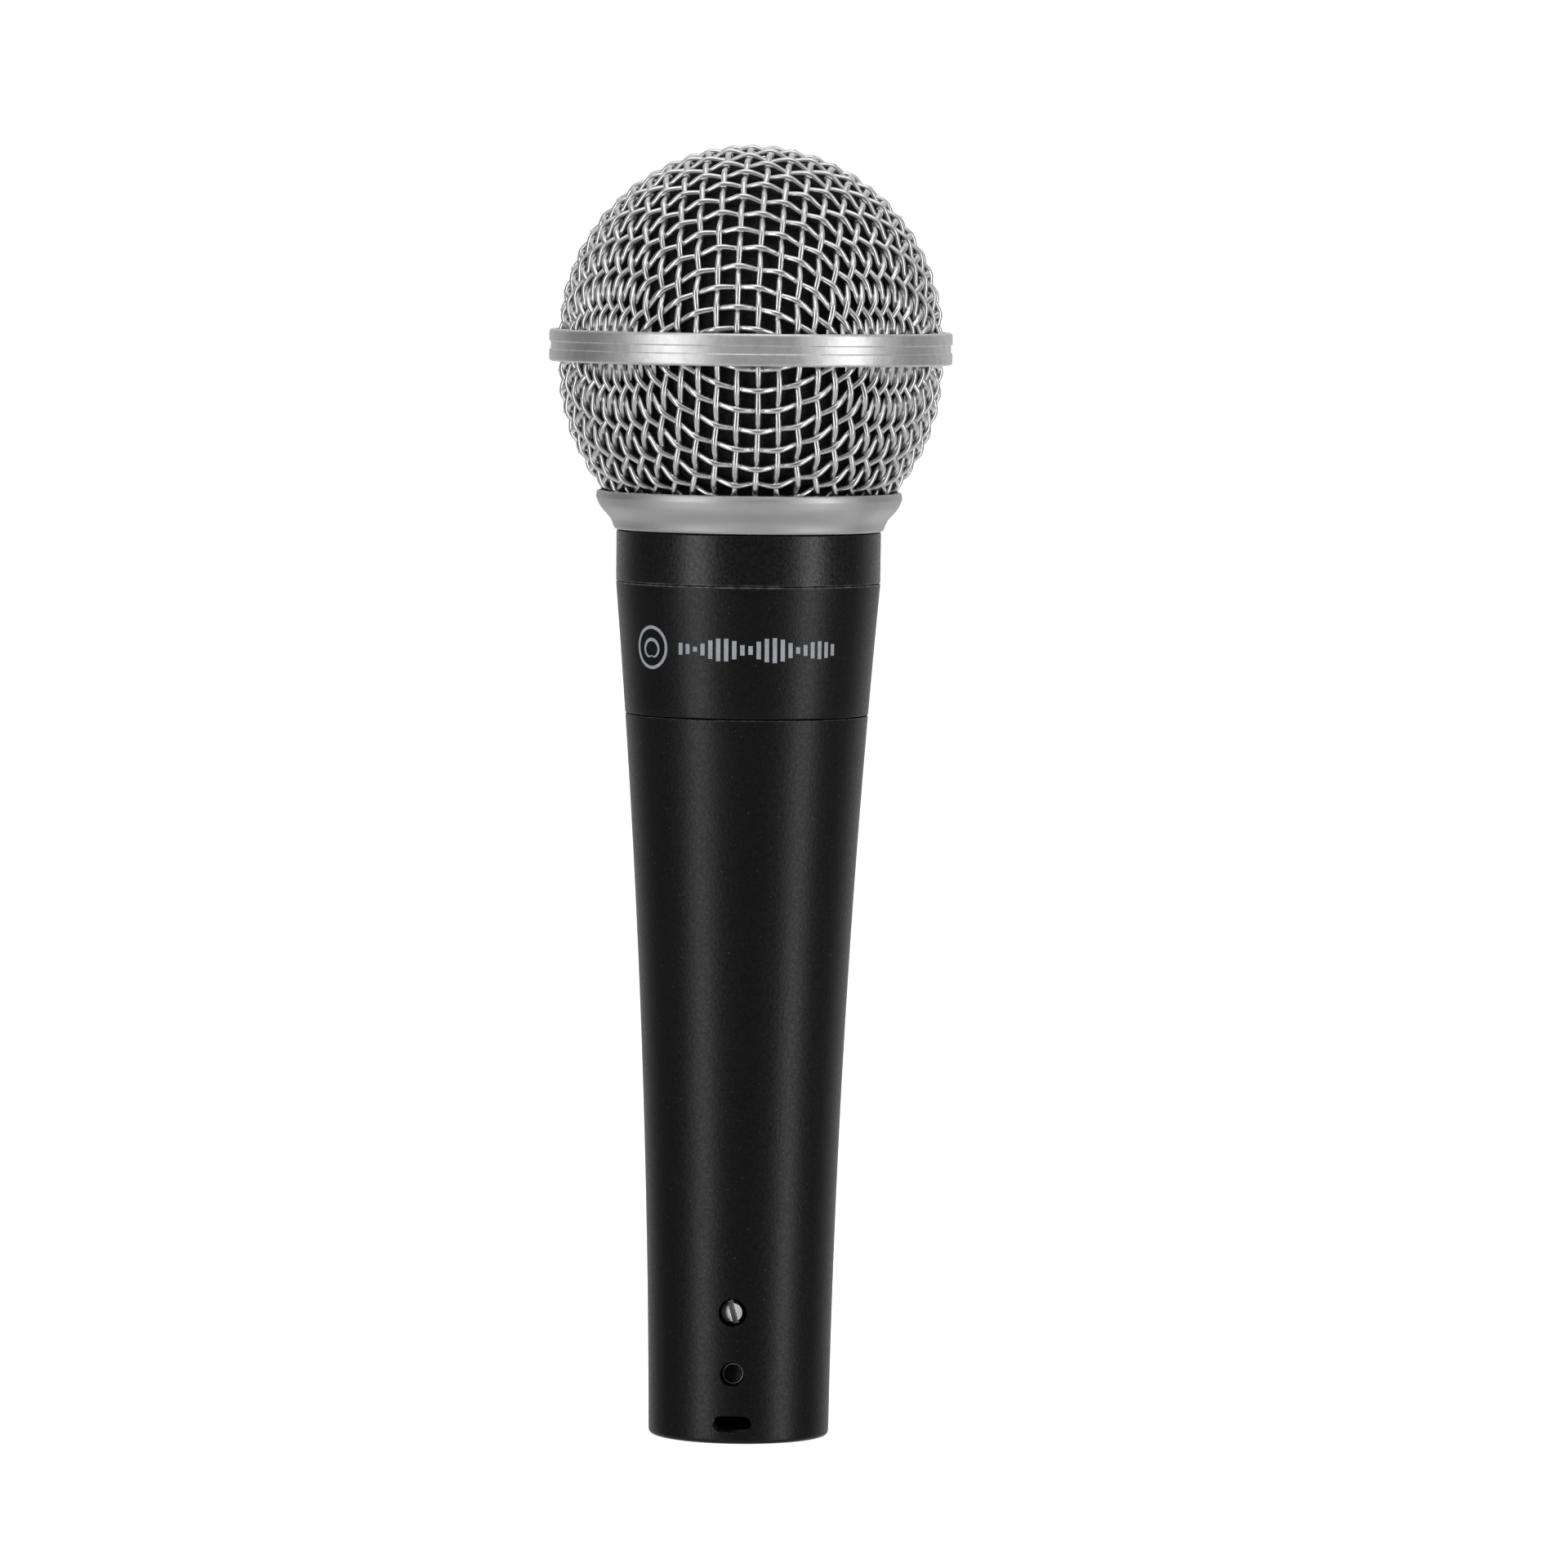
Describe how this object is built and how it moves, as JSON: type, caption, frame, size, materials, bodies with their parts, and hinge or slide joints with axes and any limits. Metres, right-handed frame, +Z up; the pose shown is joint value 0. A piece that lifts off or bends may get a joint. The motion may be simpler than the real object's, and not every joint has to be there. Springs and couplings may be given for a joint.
{
  "type": "handheld dynamic microphone",
  "caption": "Handheld vocal microphone: tapered black handle, flared silver collar, woven wire ball grille with a flat band, plug socket at the lower end.",
  "frame": {"origin": "centre of the handle's lower rim", "axes": "+Z up the microphone's axis towards the grille, -Y the side with the set screw and the latch window"},
  "size_m": [0.051, 0.051, 0.1637],
  "materials": {
    "black_paint": "satin",
    "satin_silver": "satin",
    "wire_silver": "satin",
    "foam": "matte",
    "black_plastic": "satin",
    "black_casting": "satin",
    "rubber": "matte",
    "steel": "satin",
    "magnet_plating": "polished",
    "copper": "satin",
    "film": "gloss",
    "cloth": "matte",
    "board": "satin",
    "contact_plating": "polished",
    "red_lead": "satin",
    "white_lead": "satin"
  },
  "bodies": {
    "handle": {"main_handle": "black_paint", "connector_shell": "black_casting", "connector_insulator": "black_plastic", "connector_pin_1": "contact_plating", "connector_pin_2": "contact_plating", "connector_pin_3": "contact_plating", "ground_contact": "contact_plating", "hot_lead": "red_lead", "cold_lead": "white_lead"},
    "neck": {"neck_ring": "black_paint"},
    "upper_handle": {"upper_handle": "black_paint", "shock_mount": "rubber"},
    "capsule": {"capsule_housing": "black_plastic", "capsule_cap": "black_plastic", "cap_screen": "cloth", "stem_felt": "cloth", "yoke_cup": "steel", "magnet": "magnet_plating", "pole_plate": "steel", "motor_spacer": "black_plastic", "diaphragm_ring": "black_plastic", "terminal_board": "board", "solder_lug_hot": "contact_plating", "solder_lug_cold": "contact_plating"},
    "diaphragm": {"diaphragm": "film", "voice_coil": "copper"},
    "foam": {"foam_dome": "foam", "foam_skirt": "foam"},
    "grille": {"mesh_dome": "wire_silver", "mesh_bowl": "wire_silver", "grille_band": "satin_silver", "grille_collar": "satin_silver"},
    "screw": {"set_screw": "steel"}
  },
  "joints": [
    {"name": "handle_rise", "type": "slide", "parent": "handle", "child": "neck", "axis": [0, 0, 1], "range_m": [0, 0.005]},
    {"name": "handle_turn", "type": "hinge", "parent": "neck", "child": "upper_handle", "pos_m": [0, 0, 0.1], "axis": [0, 0, 1], "range_deg": [0, 1800]},
    {"name": "grille_rise", "type": "slide", "parent": "upper_handle", "child": "foam", "axis": [0, 0, 1], "range_m": [0, 0.004]},
    {"name": "grille_turn", "type": "hinge", "parent": "foam", "child": "grille", "pos_m": [0, 0, 0.1177], "axis": [0, 0, 1], "range_deg": [0, 1440]},
    {"name": "capsule_float", "type": "slide", "parent": "upper_handle", "child": "capsule", "axis": [0, 0, 1], "range_m": [-0.001, 0.001], "stiffness_N_per_m": 2000},
    {"name": "diaphragm_travel", "type": "slide", "parent": "capsule", "child": "diaphragm", "axis": [0, 0, 1], "range_m": [-0.00025, 0.00025], "stiffness_N_per_m": 200},
    {"name": "screw_turn", "type": "hinge", "parent": "handle", "child": "screw", "pos_m": [0, -0.0097, 0.01665], "axis": [0, -1, 0], "range_deg": [-720, 0]}
  ],
  "couplings": [
    {"joint": "handle_rise", "follows": "handle_turn", "m_per_rad": 0.00015915},
    {"joint": "grille_rise", "follows": "grille_turn", "m_per_rad": 0.00015915}
  ]
}
